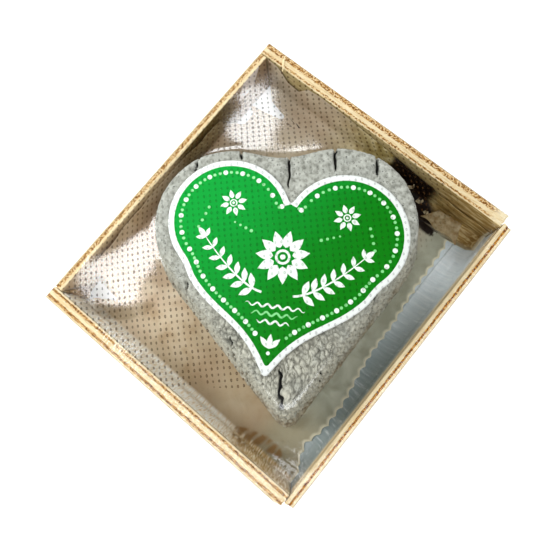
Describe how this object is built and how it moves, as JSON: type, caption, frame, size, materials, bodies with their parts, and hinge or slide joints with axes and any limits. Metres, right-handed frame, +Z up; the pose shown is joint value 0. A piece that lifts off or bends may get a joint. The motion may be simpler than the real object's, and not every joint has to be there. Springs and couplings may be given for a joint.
{
  "type": "soft-ripened goat cheese",
  "caption": "Heart-shaped soft goat cheese with an ash rind and a paper label, packed on wrapping paper in a small plywood tray under clear perforated film.",
  "frame": {"origin": "centre of the tray's footprint, on the surface it stands on", "axes": "+X from the left side board to the right side board, +Y from the front end board to the back end board, the heart's tip pointing to the front right, +Z up"},
  "size_m": [0.1068, 0.1194, 0.0299],
  "materials": {
    "plywood": "sawn thin plywood, plies showing on the edges",
    "floor": "smooth pale grey-white board with a faint silvery sheen",
    "wrapping_paper": "translucent tan greaseproof paper, knife-cut edge",
    "rind": "dry, matte, wrinkled pale grey ash rind with dark specks",
    "label_paper": "printed green with a white border, light gloss",
    "film": "clear glossy micro-perforated film"
  },
  "bodies": {
    "root": {"end_board_front": "plywood", "end_board_back": "plywood", "side_board_left": "plywood", "side_board_right": "plywood", "floor_board": "floor", "paper_sheet": "wrapping_paper", "cheese": "rind", "label": "label_paper", "film": "film"}
  },
  "joints": []
}
